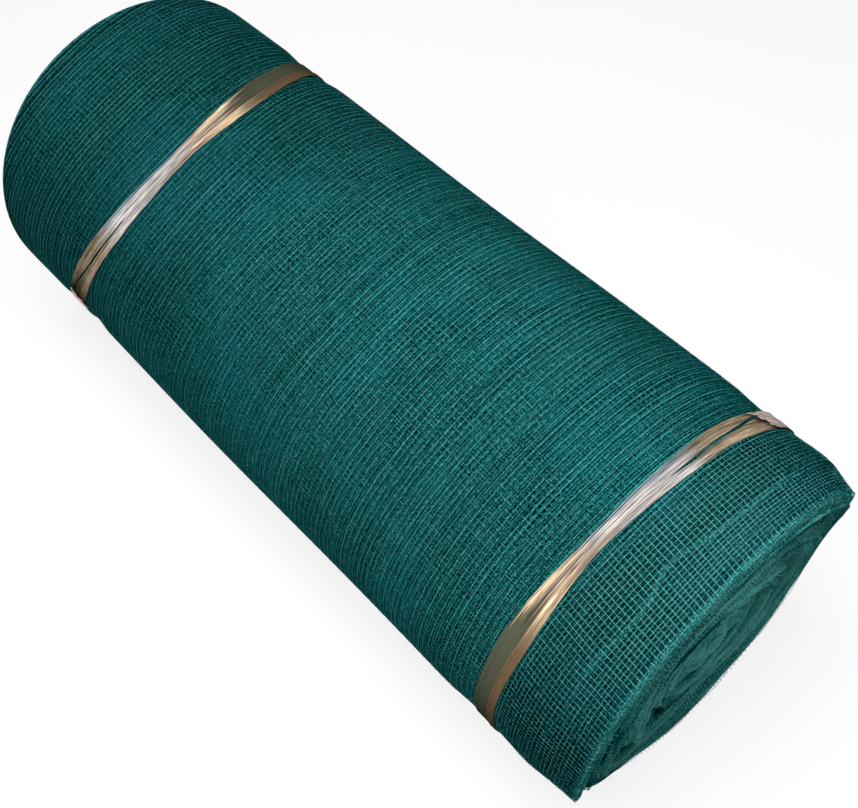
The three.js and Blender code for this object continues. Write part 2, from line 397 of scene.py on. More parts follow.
def edgeMaterial(dye):
    material, tree, shader = newMaterial("turnEdges", **{"Roughness": 0.7, "Specular IOR Level": 0.0})
    course = attributeOf(tree, "turnCourse", "Vector")
    parts = partsOf(tree, course)
    place = addNode(tree, "ShaderNodeTexCoord").outputs["Object"]
    look = edgeLook
    grain = noiseAt(tree, place, look["grain"], 2.0, 0.6)
    streak = noiseAt(tree, stretched(tree, course, look["streak"]), 1.0, 3.0, 0.65)  # follows the turns
    bent = maths(tree, "ADD", parts["X"], maths(tree, "MULTIPLY", grain, look["bend"]))
    hatch = []
    for slope in look["slopes"]:
        slanted = maths(tree, "ADD", bent, maths(tree, "MULTIPLY", parts["Y"], slope))
        share = maths(tree, "FRACT", maths(tree, "DIVIDE", slanted, look["pitch"]))
        off = maths(tree, "ABSOLUTE", maths(tree, "SUBTRACT", share, 0.5))
        hatch.append(rangeTo(tree, off, *look["yarn"]))
    yarns = maths(tree, "MAXIMUM", *hatch)
    ownTone = attributeOf(tree, "yarnTone")
    streakTone = rangeTo(tree, streak, *look["streakRange"], -look["streakTone"], look["streakTone"])
    tone = maths(tree, "ADD", ownTone, streakTone)
    tint = placeGroup(tree, dye, Tone=tone, Fleck=look["fleck"], Plain=teal["edgePlain"],
                      Blue=teal["edgePlain"], Bright=teal["edgeBright"])
    # Between the hatch's yarns the holes are painted dark as shade, and low tones from the crevices deepen
    # further into painted shade
    paintedShade = mixColours(tree, look["paintedShade"], tint.outputs["Color"], teal["deep"])
    shade = mixColours(tree, yarns, paintedShade, tint.outputs["Color"])
    lowTone = maths(tree, "ADD", ownTone, maths(tree, "MULTIPLY", streak, look["lowStreak"]))
    low = rangeTo(tree, lowTone, *look["lowRange"])
    feed(tree, mixColours(tree, low, teal["deep"], shade), shader, "Base Color")
    addBump(tree, shader, streak, look["bump"])
    return material


def tapeMaterial():
    material, tree, shader = newMaterial("gatheredTape", **{"Specular IOR Level": 0.0})
    tone = attributeOf(tree, "tapeTone", "Color")
    course = attributeOf(tree, "tapeCourse", "Vector")
    look = tapeLook
    crease = noiseAt(tree, stretched(tree, course, look["crease"]), 1.0, 3.0, 0.6)
    gathered = attributeOf(tree, "tapeGather")
    crinkle = noiseAt(tree, stretched(tree, course, look["crinkle"]), 1.0, 2.0, 0.6)
    crinkleLight = rangeTo(tree, crinkle, *look["range"], *look["crinkleLight"])
    creaseLight = rangeTo(tree, crease, *look["range"], *look["creaseLight"])
    lightness = maths(tree, "MULTIPLY", creaseLight, crinkleLight)
    change = maths(tree, "SUBTRACT", lightness, 1.0)
    shade = addNode(tree, "ShaderNodeVectorMath", operation="SCALE")
    feed(tree, tone, shade, 0)
    feed(tree, maths(tree, "MULTIPLY_ADD", gathered, change, 1.0), shade, "Scale")
    feed(tree, shade.outputs[0], shader, "Base Color")
    rough = rangeTo(tree, crease, *look["roughFrom"], *look["rough"])
    feed(tree, rough, shader, "Roughness")
    addBump(tree, shader, maths(tree, "MULTIPLY", crease, gathered), look["bump"])
    return material


yarnDye = yarnDyeGroup()
meshLines = meshLinesGroup()
outerYarn = yarnMaterial("outerYarn", yarnDye, teal["plain"], teal["bright"])
shadedInnerYarn = yarnMaterial("shadedInnerYarn", yarnDye, teal["innerPlainShaded"], teal["innerBrightShaded"])
deepNet = deepMaterial(yarnDye, meshLines)
turnEdges = edgeMaterial(yarnDye)
gatheredTape = tapeMaterial()
print("stage: materials made")


# Meshes from arrays
noTriangles = np.zeros((0, 3), int)


def linkPiece(name, data, material=None):
    piece = bpy.data.objects.new(name, data)
    scene.collection.objects.link(piece)
    if material:
        data.materials.append(material)
    return piece


def newPiece(name, points, quads, material, smooth=False, triangles=noTriangles):
    mesh = bpy.data.meshes.new(name)
    mesh.vertices.add(len(points))
    mesh.vertices.foreach_set("co", np.ascontiguousarray(points, np.float32).ravel())
    corners = np.concatenate([quads.ravel(), triangles.ravel()]).astype(np.int32)
    counts = np.concatenate([np.full(len(quads), 4), np.full(len(triangles), 3)])
    mesh.loops.add(len(corners))
    mesh.loops.foreach_set("vertex_index", corners)
    mesh.polygons.add(len(counts))
    starts = np.concatenate([[0], np.cumsum(counts)[:-1]]).astype(np.int32)
    mesh.polygons.foreach_set("loop_start", starts)
    mesh.update(calc_edges=True)
    mesh.validate()
    mesh.polygons.foreach_set("use_smooth", np.full(len(counts), smooth))
    return linkPiece(name, mesh, material)


def setAttribute(piece, name, kind, values):
    attribute = piece.data.attributes.new(name, kind, "POINT")
    field = {"FLOAT": "value", "FLOAT_COLOR": "color", "FLOAT_VECTOR": "vector"}[kind]
    attribute.data.foreach_set(field, np.ascontiguousarray(values, np.float32).ravel())


yarnForm = {"top": 0.55, "tones": (-0.75, 0.1, 0.1, -0.75)}  # painted shade and light: each yarn's flanks are painted darker than its top


# Corners of yarns through given points, one yarn a row: each point becomes a low ridge with a flat top.
# Bend turns the tops from facing out of the side to facing out of the near end
def ridges(middle, a, bend, width, height, lies):
    turn = np.radians(np.broadcast_to(a, middle.shape[:2]))
    bend = np.broadcast_to(bend, turn.shape)
    outward = stacked(0, np.sin(turn), np.cos(turn))
    ahead = np.array([1.0, 0.0, 0.0])
    cos, sin = np.cos(bend)[..., None], np.sin(bend)[..., None]
    up = (outward * cos + ahead * sin) * height * mm
    if lies == "round":
        side = ahead * cos - outward * sin
    else:
        side = stacked(0, -np.cos(turn), np.sin(turn))
    side = side * width / 2 * mm
    top = yarnForm["top"] * side
    return np.stack([middle - side, middle + up - top, middle + up + top, middle + side], 2)


def yarnFaces(count, points, first):
    step = 4  # corners for each point
    base = first + step * (np.arange(count)[:, None] * points + np.arange(points - 1)[None, :])
    quads = []
    for k in range(step):
        following = (k + 1) % step
        quads.append(stacked(base + k, base + following, base + step + following, base + step + k))
    start = first + step * points * np.arange(count)
    finish = start + step * (points - 1)
    caps = [stacked(start + 3, start + 2, start + 1, start),
            stacked(finish, finish + 1, finish + 2, finish + 3)]
    return np.concatenate([np.concatenate(quads).reshape(-1, 4)] + caps)


def joinYarns(name, bundles, material):
    points, quads, tones = [], [], []
    first = 0
    for corners, tone in bundles:
        count, steps, sides = corners.shape[:3]
        points.append(corners.reshape(-1, 3))
        quads.append(yarnFaces(count, steps, first))
        across = np.broadcast_to(tone, (count, steps))[..., None] + np.array(yarnForm["tones"])
        tones.append(across.reshape(-1))
        first += count * steps * sides
    piece = newPiece(name, np.concatenate(points), np.concatenate(quads), material)
    setAttribute(piece, "yarnTone", "FLOAT", np.concatenate(tones))
    return piece


# The net's outer layers, each a full turn in single yarns. Rows run round the roll, columns along it
netYarn = {
    "rowHeight": 0.35, "columnWidth": 0.62, "columnHeight": 0.2,
    "nearColumnWidth": 0.68, "nearRowWidth": 0.62,
    "rowPitch": 7.1, "nearPitch": 4.4, "nearFrom": 398, "lean": 0.82,
    "wider": 0.9, "widerAt": -230, "widerReach": 110,
    "pair": 0.4, "uneven": 0.18, "nearEven": 0.8, "nearDrift": 0.3,
    "wave": 1.1, "calm": (4, 40), "nearCalm": 0.5, "shiverPace": 60, "seed": 11,
    "roundSteps": 90, "alongSteps": 38, "formSteps": 800, "columns": 208,
    "farEdge": 517, "farSelvedge": 3, "farSelvedgeTone": 0.2,
    "selvedgePitch": 1.5, "selvedgeSway": 0.8, "selvedgePace": 40, "selvedgeTones": (0.4, 0.2),
    "columnStray": 0.06, "columnSpread": 0.06, "sway": 0.3, "nearSway": 0.7,
    "twist": -0.011, "nearTwist": -0.02,  # degrees of turn for each millimetre along
    "loose": (400, 424),  # past the near tie the turns lie looser, and their columns show
    "farness": (40, 340), "cloud": 0.1, "cloudSeed": 71,  # slow changes in the rows' tone
}
# The second and third layers' negative tones are painted shade of the layers under the first
netLayers = [
    {"name": "net_outer", "out": -0.4, "loose": 0, "near": 509, "selvedge": 3, "seed": 13,
     "apart": 0, "nearApart": 0, "other": 0, "drift": 0.1, "stray": 0.1, "shiver": 0.3,
     "sway": 0.06, "rowWidth": 0.68, "columnStart": 0.0, "tone": 0.29, "columnTone": 0.17, "spread": 0.1,
     "nearTone": 0.85, "nearRowTone": 0.72, "farTone": 0.26},
    {"name": "net_second", "out": -0.95, "loose": 0.1, "near": 508, "selvedge": 3, "seed": 23,
     "apart": 3.0, "nearApart": 2.1, "other": 0.3, "drift": 0.15, "stray": 0.35, "shiver": 0.5,
     "sway": 0.2, "rowWidth": 0.68, "columnStart": 0.5, "tone": 0.31, "columnTone": 0.17, "spread": 0.14,
     "nearTone": -0.2, "nearRowTone": -0.2, "farTone": -0.34},
    {"name": "net_third", "out": -1.45, "loose": 0.1, "near": 507, "selvedge": 2, "seed": 37,
     "apart": -1.9, "nearApart": 1.0, "other": 0.5, "drift": 0.2, "stray": 0.4, "shiver": 0.5,
     "sway": 0.35, "rowWidth": 1.7, "columnStart": 0.25, "tone": 0.2, "columnTone": -0.15, "spread": 0.14,
     "nearTone": -0.6, "nearRowTone": -0.6, "farTone": -0.4},
]
columnLift = {"tight": -0.25, "loose": 0.15}  # columns lie under the rows where the net is drawn tight
foldLine = {  # past the near tie
    "at": 462, "rings": 5, "pitch": 1.1, "tone": 0.05, "wave": 1.8, "seed": 5,
    "dipAngle": -21, "dip": -8, "dipWidth": 8,
}
paintedFalloff = {  # painted shade: how much darker the yarn is painted everywhere, towards the far end, and down either side
    "all": 0.02, "far": 0.2, "farTo": 420,
    "left": 0.05, "leftLoose": 0.65, "leftRun": (25, 85),
    "right": 0.25, "rightLoose": 0.4, "rightRun": (-5, 45),
}


def loosened(along):
    return ease(along, *netYarn["loose"])


# The near edge is tucked in on the side that stands back
tuck = {"depth": 2.2, "edgeDepth": 1.2, "from": 95, "to": 130, "along": 494, "alongTo": 507}


def tucked(a):
    return ease(apart(a, nearSet["faces"]), tuck["from"], tuck["to"])


def layerOut(layer, a, along):
    inward = tuck["depth"] * tucked(a) * ease(along, tuck["along"], tuck["alongTo"])
    return layer["out"] - layer["loose"] * loosened(along) - rimDrop(along) - inward


# Where rows lie: they lean a little less than the far tie does, and run off over the far rim
def rowTarget(a, places):
    far, near = farTie["middle"], nearTie["middle"]
    toNear = np.clip((places - far) / (near - far), 0, 1)
    shift = between(netYarn["lean"] * tieWander(farTie, a), tieWander(nearTie, a), toNear)
    return places + np.where(places < near, shift, rowShift(a, places, 1.0))


# The places on the wound form that come to lie there
def rowPlaces(a, target):
    form = np.linspace(-roll["half"], roll["half"], netYarn["formSteps"])
    places = []
    for k in range(a.shape[1]):
        places.append(np.interp(target[:, k], form + rowShift(a[0, k], form, 1.0), form))
    return np.stack(places, 1)


def evenRows():
    y = netYarn
    rows = [-y["farEdge"] - farTie["lean"] - farTie["bow"]]
    while rows[-1] < y["nearFrom"]:
        wider = y["wider"] * math.exp(-((rows[-1] - y["widerAt"]) / y["widerReach"]) ** 2)
        rows.append(rows[-1] + y["rowPitch"] + wider)
    return np.concatenate([rows, np.arange(rows[-1] + y["nearPitch"], roll["half"], y["nearPitch"])])


def layerRows(layer, a):
    y = netYarn
    shared = np.random.default_rng(y["seed"])
    even = evenRows()
    k = np.arange(len(even))
    uneven = y["pair"] * (-1.0) ** k + shared.normal(0, y["uneven"], len(even))
    places = (even + uneven * (1 - y["nearEven"] * loosened(even)))[:, None]
    seed = layer["seed"]
    own = np.random.default_rng(seed + 3)
    alternate = (layer["other"] * (k % 2) + layer["stray"] * own.normal(0, 1, len(even)))[:, None]
    drift = layer["drift"] * ripple(a, places, seed, count=6, turns=4, reach=300)
    nearDrift = y["nearDrift"] * ripple(a, places, seed)
    offset = between(layer["apart"] + alternate + drift, layer["nearApart"] + nearDrift, loosened(places))
    calm = ease(roll["half"] - np.abs(places), *y["calm"]) * (1 - y["nearCalm"] * loosened(places))
    rows = places + offset + y["wave"] * calm * ripple(a, places, y["seed"])
    shiver = ripple(a, places * y["shiverPace"], seed + 7, count=9, turns=34)
    rows = rowPlaces(a, rowTarget(a, rows + layer["shiver"] * calm * shiver))
    limit = layer["near"] - layer["selvedge"] * y["selvedgePitch"]
    rows = np.clip(rows[rows.min(1) < limit], -y["farEdge"], limit)
    rowTone = between(layer["tone"], layer["nearRowTone"], loosened(rows[:, :1]))
    farRows = y["selvedgePitch"] * np.arange(y["farSelvedge"])[:, None] - y["farEdge"] + 0 * a
    farTone = np.full((len(farRows), 1), y["farSelvedgeTone"])
    nearest = np.arange(layer["selvedge"])[:, None]
    edges = nearest * y["selvedgePitch"]
    nearSway = ripple(a, edges * y["selvedgePace"], seed + 5, count=9, turns=26)
    nearRows = layer["near"] - edges + y["selvedgeSway"] * nearSway
    rows = [rows, farRows, nearRows]
    tones = [rowTone, farTone, np.array(y["selvedgeTones"])[nearest % 2]]
    if layer is netLayers[0]:
        dip = foldLine["dip"] * np.exp(-(apart(a, foldLine["dipAngle"]) / foldLine["dipWidth"]) ** 2)
        strip = foldLine["at"] + np.arange(foldLine["rings"])[:, None] * foldLine["pitch"]
        rows.append(strip + dip + foldLine["wave"] * ripple(a, strip, foldLine["seed"], turns=14))
        tones.append(np.full((len(strip), 1), foldLine["tone"]))
    return np.concatenate(rows), np.concatenate(tones)


# Painted shade: the yarn is painted darker towards the far end and down either side of the roll
def paintedFalloffAt(a, along):
    a = (a + 180) % 360 - 180
    loose = loosened(along)
    left = (paintedFalloff["left"] + paintedFalloff["leftLoose"] * loose) * ease(-a, *paintedFalloff["leftRun"])
    right = (paintedFalloff["right"] + paintedFalloff["rightLoose"] * loose) * ease(a, *paintedFalloff["rightRun"])
    return paintedFalloff["all"] + paintedFalloff["far"] * ease(-along, 0, paintedFalloff["farTo"]) + (left + right)


def netLayer(layer, material):
    rng = np.random.default_rng(layer["seed"])
    y = netYarn
    a = np.linspace(roll["lapAngle"] - 360, roll["lapAngle"], y["roundSteps"] + 1)[None, :]
    rows, rowTone = layerRows(layer, a)
    rowTone = rowTone + rng.normal(0, layer["spread"], len(rows))[:, None]
    rowTone = rowTone + y["cloud"] * ripple(a, rows, y["cloudSeed"])
    rowTone = rowTone - paintedFalloffAt(a, rows) + layer["farTone"] * ease(-rows, *y["farness"])
    thick = between(layer["rowWidth"], y["nearRowWidth"], loosened(rows))[..., None]
    place = rollPoint(a, rows, layerOut(layer, a, rows))
    rings = ridges(place, a, 0, thick, y["rowHeight"], "round")
    columns = y["columns"]
    angles = (np.arange(columns) + layer["columnStart"]) * 360 / columns
    angles = (angles + rng.normal(0, y["columnStray"], columns))[:, None]
    along = np.linspace(-y["farEdge"], layer["near"], y["alongSteps"] + 1)[None, :] + 0 * angles
    ownSway = layer["sway"] * (1 - y["nearSway"] * loosened(along))
    ownSway = ownSway * ripple(angles, along, layer["seed"] + 1, count=9, turns=34, reach=130)
    sway = y["sway"] * ripple(angles, along, y["seed"] + 1) + ownSway
    sway = sway + y["twist"] * along + y["nearTwist"] * np.maximum(along - y["nearFrom"], 0)
    lift = between(columnLift["tight"], columnLift["loose"], loosened(along))
    wide = between(y["columnWidth"], y["nearColumnWidth"], loosened(along))[..., None]
    turns = angles + sway
    place = rollPoint(turns, along, layerOut(layer, turns, along) + lift)
    lines = ridges(place, turns, 0, wide, y["columnHeight"], "along")
    lineTone = between(layer["columnTone"], layer["nearTone"], loosened(along))
    lineTone = lineTone + rng.normal(0, y["columnSpread"], columns)[:, None] - paintedFalloffAt(angles, along)
    layer["columnEnds"] = turns[:, -1:]
    piece = joinYarns(layer["name"], [(rings, rowTone), (lines, lineTone)], material)
    print("stage:", layer["name"], len(rows), "rows", columns, "columns")
    return piece


netPieces = [netLayer(layer, outerYarn if k == 0 else shadedInnerYarn) for k, layer in enumerate(netLayers)]

# The wound body under the layers, with its ends sunk behind the turns' edges
bodySpec = {
    "sunk": 1.7, "endSunk": 14, "steps": 120, "rows": 90, "endRows": 16,
    "rimRun": 25, "snap": 0.01, "merge": 0.001,
}


def woundBody():
    sunk, half = bodySpec["sunk"], roll["half"]
    side = roll["radius"] - sunk
    low, high = ends["far"]["bodyRim"] - half, half - ends["near"]["bodyRim"]
    profile = [(low, side * k / bodySpec["endRows"]) for k in range(bodySpec["endRows"])]
    spread = np.sin(np.linspace(-math.pi / 2, math.pi / 2, bodySpec["rows"]))  # closer towards the rims
    profile += [(x, side) for x in between(low, high, 0.5 + 0.5 * spread)]
    profile += [(high, side * k / bodySpec["endRows"]) for k in reversed(range(bodySpec["endRows"]))]
    bm = bmesh.new()
    verts = [bm.verts.new((x, 0, r)) for x, r in profile]
    edges = [bm.edges.new(pair) for pair in zip(verts, verts[1:])]
    bmesh.ops.spin(bm, geom=verts + edges, axis=(1, 0, 0), cent=(0, 0, 0), angle=2 * math.pi,
                   steps=bodySpec["steps"], use_merge=True)
    bmesh.ops.remove_doubles(bm, verts=bm.verts, dist=bodySpec["merge"])
    bmesh.ops.recalc_face_normals(bm, faces=bm.faces)
    mesh = bpy.data.meshes.new("net_body")
    bm.to_mesh(mesh)
    bm.free()
    co = np.zeros(len(mesh.vertices) * 3, np.float32)
    mesh.vertices.foreach_get("co", co)
    co = co.reshape(-1, 3).astype(float)
    a = np.degrees(np.arctan2(co[:, 1], co[:, 2]))
    r = np.hypot(co[:, 1], co[:, 2])
    along = co[:, 0].copy()
    out = r - roll["radius"] - rimDrop(along) * r / roll["radius"]
    back = np.zeros(len(a))
    for end in ends.values():
        atEnd = end["sign"] * along > half - end["bodyRim"] - bodySpec["snap"]
        sunkEnd = endDepth(end, roll["radius"] - r - end["rim"], a) + bodySpec["endSunk"]
        sunkEnd = between(sunkEnd, end["bodyRim"], ease(r, side - bodySpec["rimRun"], side))
        back = np.where(atEnd, -end["sign"] * sunkEnd, back)
        along = np.where(atEnd, end["sign"] * half, along)
    place = rollPoint(a, along, out, back, r / roll["radius"])
    mesh.vertices.foreach_set("co", place.astype(np.float32).ravel())
    mesh.update()
    mesh.polygons.foreach_set("use_smooth", np.full(len(mesh.polygons), True))
    print("stage: wound body", len(mesh.polygons), "faces")
    return linkPiece("net_body", mesh, deepNet)


netBody = woundBody()

# Edges of the turns on both ends: one long ridge wound inwards, with a crevice between turn and turn
turnFace = {
    "pitch": 3.1, "steps": 120, "stop": 13, "across": (0, 0.26, 0.5, 0.74), "soft": 0.7,
    "slack": 0.5, "slackPace": 8, "crevice": 4.0, "creviceSpread": 2.0, "crevicePace": 6,
    "leastGap": 1.2, "firstGap": 0.8, "eyeSunk": 8,
    "waves": ((2.2, 0.9), (0.9, 0.9), (0.21, 0.45)),  # their lengths in turns, and their heights
    "waveCount": 4, "waveSpread": (0.7, 1.4), "waveStarts": (0, 6.3),
    "rimWaves": 0.15, "waveRun": (5, 20),
    # painted shade: each ridge's valley corner is painted darker and its top a little lighter, and the eye
    # is painted dark
    "valleyShadeTones": (-0.6, 0.0, 0.12, 0.0), "toneSpread": 0.2, "tonePace": 10,
    "shadeRun": (8, 42), "skirtTone": 0.2, "eyeShade": -0.5,
}
smallLips = [
    {"pitch": 21, "depth": 3.4, "swirl": 1, "start": 40},
    {"pitch": 8.5, "depth": 1.3, "swirl": -1, "start": 160},
]
lipForm = {"run": (4, 18), "overtone": 0.4, "overtoneStart": 0.6}
crevices = {  # between groups of turns; their darkening is painted shade
    "pitch": 17, "start": 70, "sharp": 9, "depth": 7, "gapShade": 1.5,
    "uneven": 0.7, "pace": 8, "run": (6, 18),
}
hollows = [  # places where the near end's turns gape, darkened with painted shade
    {"middle": 86, "span": 44, "inset": 92, "reach": 11, "depth": 12, "gapShade": 1.6},
    {"middle": 130, "span": 44, "inset": 144, "reach": 8, "depth": 8, "gapShade": 1.4},
    {"middle": -160, "span": 30, "inset": 91, "reach": 8, "depth": 9, "gapShade": 1.6},
    {"middle": -34, "span": 80, "inset": 30, "reach": 8, "depth": 1.5, "gapShade": 1.5},
    {"middle": -8, "span": 60, "inset": 66, "reach": 8, "depth": 2, "gapShade": 1.5},
    {"middle": -48, "span": 46, "inset": 100, "reach": 9, "depth": 3, "gapShade": 1.2},
]
wander = {"reach": 5, "seed": 61, "fade": 18}  # the hollows keep no even distance from the rim


def creviceAt(inset, a, seed):
    turn = math.pi * inset / crevices["pitch"] + np.radians(0.5 * (a + crevices["start"]))
    sharp = np.exp(-crevices["sharp"] * np.cos(turn) ** 2)
    uneven = ripple(a, crevices["pace"] * inset, seed + 21, count=7, turns=7, reach=160)
    return sharp * np.clip(0.5 + crevices["uneven"] * uneven, 0, 1) * ease(inset, *crevices["run"])


def hollowAt(end, inset, a, measure):
    total = 0
    for hollow in hollows if end["sign"] > 0 else []:
        within = 1 - ease(apart(a, hollow["middle"]), hollow["span"] - wander["fade"], hollow["span"])
        off = inset - hollow["inset"] - wander["reach"] * ripple(a, 0, wander["seed"], count=6, turns=7)
        total = total + hollow[measure] * within * np.exp(-(off / hollow["reach"]) ** 2)
    return total


def faceDepth(end, inset, a, seed):
    edge = crevices["depth"] * creviceAt(inset, a, seed)
    for lip in smallLips:
        turn = 2 * math.pi * inset / lip["pitch"] + np.radians(lip["swirl"] * a + lip["start"])
        wave = np.sin(turn) + lipForm["overtone"] * np.sin(2 * turn + lipForm["overtoneStart"])
        edge = edge + lip["depth"] * wave * ease(inset, *lipForm["run"])
    rim = rimCorner(end, a)
    rounded = rim - np.sqrt(rim ** 2 - np.clip(rim - inset, 0, rim) ** 2)
    depth = endDepth(end, inset - end["rim"], a) + edge + rounded + end["sunk"]
    return depth + hollowAt(end, inset, a, "depth")


def turnTop(end, inset, a, t, seed):
    rng = np.random.default_rng(seed)
    edge = 0
    for reach, height in turnFace["waves"]:
        waves = 0
        for _ in range(turnFace["waveCount"]):
            length = reach * rng.uniform(*turnFace["waveSpread"])
            waves = waves + np.sin(2 * math.pi * t / length + rng.uniform(*turnFace["waveStarts"]))
        edge = edge + height * waves / 2
    share = between(turnFace["rimWaves"], 1, ease(inset, *turnFace["waveRun"]))
    return faceDepth(end, inset, a, seed) + edge * share


def endTurns(name, end, seed):
    w = turnFace
    steps = w["steps"]
    first = end["first"]
    turns = int((roll["radius"] - first - w["stop"]) / w["pitch"])
    t = np.arange(turns * steps + 1) / steps
    a = 360 * t + 180
    across = np.array(w["across"])
    inset = first + w["pitch"] * (t[:, None] + across[None, :])
    slack = ripple(a[:, None], w["slackPace"] * inset, seed, count=5, turns=3, reach=60)
    inset = inset + w["slack"] * slack
    middle = inset[:, 2]  # the ridge's top
    top = turnTop(end, middle, a, t, seed)
    outer = np.concatenate([top[:steps], top[:-steps]])
    uneven = ripple(a, w["crevicePace"] * middle, seed + 2, count=6, turns=3, reach=60)
    gap = w["crevice"] + w["creviceSpread"] * uneven
    valley = np.maximum(top, outer) + np.maximum(gap, w["leastGap"])
    valley[:steps + 1] = top[:steps + 1] + w["firstGap"]  # nothing lies outside the first turn
    depth = np.stack([valley, top + w["soft"], top, top + w["soft"]], 1)
    size = 1 - inset / roll["radius"]
    sign = end["sign"]
    half = sign * roll["half"]
    points = rollPoint(a[:, None], half, -inset, -sign * depth, size)
    rim = slice(0, steps + 1)
    skirt = rollPoint(a[rim], half, -inset[rim, 0], -sign * (depth[rim, 0] + end["skirt"]), size[rim, 0])
    eye = rollPoint(0.0, half, -roll["radius"], -sign * (depth[-1, 0] + w["eyeSunk"]), 0.0)
    count = len(across)
    corner = np.arange(len(t) * count).reshape(-1, count)
    head, tail = corner[:-1], corner[1:]
    quads = []
    for k in range(count - 1):
        quads.append(stacked(head[:, k], head[:, k + 1], tail[:, k + 1], tail[:, k]))
    inner = stacked(head[:-steps, -1], head[steps:, 0], tail[steps:, 0], tail[:-steps, -1])
    below = len(t) * count + np.arange(steps + 1)
    sides = stacked(head[:steps, 0], tail[:steps, 0], below[1:], below[:-1])
    closing = np.array([[corner[steps, 0], corner[0, 0], below[0], below[-1]]])
    quads = np.concatenate(quads + [inner, sides, closing])
    last = corner[-steps - 1:, -1]
    fan = stacked(last[:-1], below[-1] + 1, last[1:])
    points = np.concatenate([points.reshape(-1, 3), skirt, eye.reshape(-1, 3)])
    piece = newPiece(name, points, quads, turnEdges, True, fan)
    bm = bmesh.new()
    bm.from_mesh(piece.data)
    bmesh.ops.recalc_face_normals(bm, faces=bm.faces)
    bm.to_mesh(piece.data)
    bm.free()
    drift = ripple(a, w["tonePace"] * middle, seed + 3, count=6, turns=4, reach=50)
    # Painted shade in the hollows and crevices, and near the rim
    tone = end["tone"] + w["toneSpread"] * drift - hollowAt(end, middle, a, "gapShade")
    shaded = end["rimShade"] * (1 - ease(middle, *w["shadeRun"]))
    tone = tone - crevices["gapShade"] * creviceAt(middle, a, seed) - shaded
    tone = tone[:, None] + np.array(w["valleyShadeTones"])[None, :]
    tone[:steps + 1, 0] -= w["valleyShadeTones"][0]  # the first turn's flank shows, so it keeps no painted valley shade
    tone = np.concatenate([tone.ravel(), np.full(steps + 1, w["skirtTone"]), [w["eyeShade"]]])
    arc = (np.radians(a) * (roll["radius"] - middle / 2))[:, None]
    course = stacked(arc, inset, 0).reshape(-1, 3)
    skirtCourse = stacked(arc[rim, 0], inset[rim, 0] - end["skirt"], 0)
    course = np.concatenate([course, skirtCourse, [[0, 0, 0]]]) * mm
    setAttribute(piece, "yarnTone", "FLOAT", tone)
    setAttribute(piece, "turnCourse", "FLOAT_VECTOR", course)
    print("stage:", name, turns, "turns", len(piece.data.polygons), "faces")
    return piece


endSeeds = {"near": 5, "far": 9}
endPieces = [endTurns("end_turns_" + name, ends[name], seed) for name, seed in endSeeds.items()]

# The net's edge turns in over the near end and lies on the turns there
turnedEdge = {
    "front": 513.3, "before": 5, "inward": 92, "ringsInward": 150, "steps": 46, "roundSteps": 180,
    "rimOver": 0.3, "over": 2.6, "overRun": (8, 30), "join": 10,
    "pitch": 4.4, "wave": 1.2, "wavePace": 40, "width": 0.66, "height": 0.3,
    "sway": 1.4, "swayPace": 9, "swayRun": (0, 25), "seed": 53,
    "tone": 0.4, "lineTone": 0.55, "innerTone": 1.35, "ringsFrom": 8, "linesFrom": 4,
    "spread": 0.25, "paintedShade": 0.6, "creviceShade": 1.1,
}


def turnedPlace(a, run):
    e, end = turnedEdge, ends["near"]
    corner = rimCorner(end, a)
    bend = np.clip(run / corner, 0, math.pi / 2)
    along = e["front"] - corner + np.minimum(run, 0) + corner * np.sin(bend)
    inset = corner * (1 - np.cos(bend)) + np.maximum(run - corner * math.pi / 2, 0)
    faceAt = roll["half"] + rowShift(a, roll["half"], 1.0) - end["sunk"]
    flush = faceAt + e["rimOver"] - e["front"] - rowShift(a, e["front"], 1.0)
    out = netLayers[0]["out"] - inset - tuck["edgeDepth"] * tucked(a)
    side = rollPoint(a, along, out, flush * np.sin(bend))
    over = between(e["rimOver"], e["over"], ease(inset, *e["overRun"]))
    depth = faceDepth(end, inset, a, endSeeds["near"]) - over
    face = rollPoint(a, roll["half"], out, -depth, 1 - inset / roll["radius"])
    # painted shade of the hollows and crevices under the turned edge
    gaps = creviceAt(inset, a, endSeeds["near"])
    gapShade = hollowAt(end, inset, a, "gapShade") + e["creviceShade"] * gaps
    return between(side, face, ease(inset, corner, corner + e["join"])[..., None]), bend, gapShade


def turnedNet():
    e = turnedEdge
    rng = np.random.default_rng(e["seed"])
    a = np.linspace(-180, 180, e["roundSteps"] + 1)[None, :]
    runs = np.arange(0, e["ringsInward"], e["pitch"])[:, None] + 0 * a
    runs = runs + e["wave"] * ripple(a, e["wavePace"] * runs, e["seed"], count=9, turns=22)
    place, bend, gapShade = turnedPlace(a, runs)
    rings = ridges(place, a, bend, e["width"], e["height"], "round")
    ringTone = between(e["tone"], e["innerTone"], ease(runs, e["ringsFrom"], e["ringsInward"]))
    ringTone = ringTone + rng.normal(0, e["spread"], len(runs))[:, None] - gapShade
    # painted shade down the sides, as on the layers
    ringTone = ringTone - e["paintedShade"] * paintedFalloffAt(a, e["front"])
    columns = netLayers[0]["columnEnds"]
    run = np.linspace(-e["before"], e["inward"], e["steps"])[None, :] + 0 * columns
    sway = ripple(columns, e["swayPace"] * run, e["seed"] + 1, count=9, turns=20, reach=160)
    angles = columns + e["sway"] * sway * ease(run, *e["swayRun"])
    place, bend, gapShade = turnedPlace(angles, run)
    lines = ridges(place, angles, bend, e["width"], e["height"], "along")
    lineTone = between(e["lineTone"], e["innerTone"], ease(run, e["linesFrom"], e["inward"]))
    lineTone = lineTone + rng.normal(0, e["spread"], len(columns))[:, None] - gapShade
    lineTone = lineTone - e["paintedShade"] * paintedFalloffAt(angles, e["front"])
    piece = joinYarns("net_turned_edge", [(rings, ringTone), (lines, lineTone)], outerYarn)
    print("stage: turned edge", len(runs), "rows")
    return piece


endPieces.append(turnedNet())

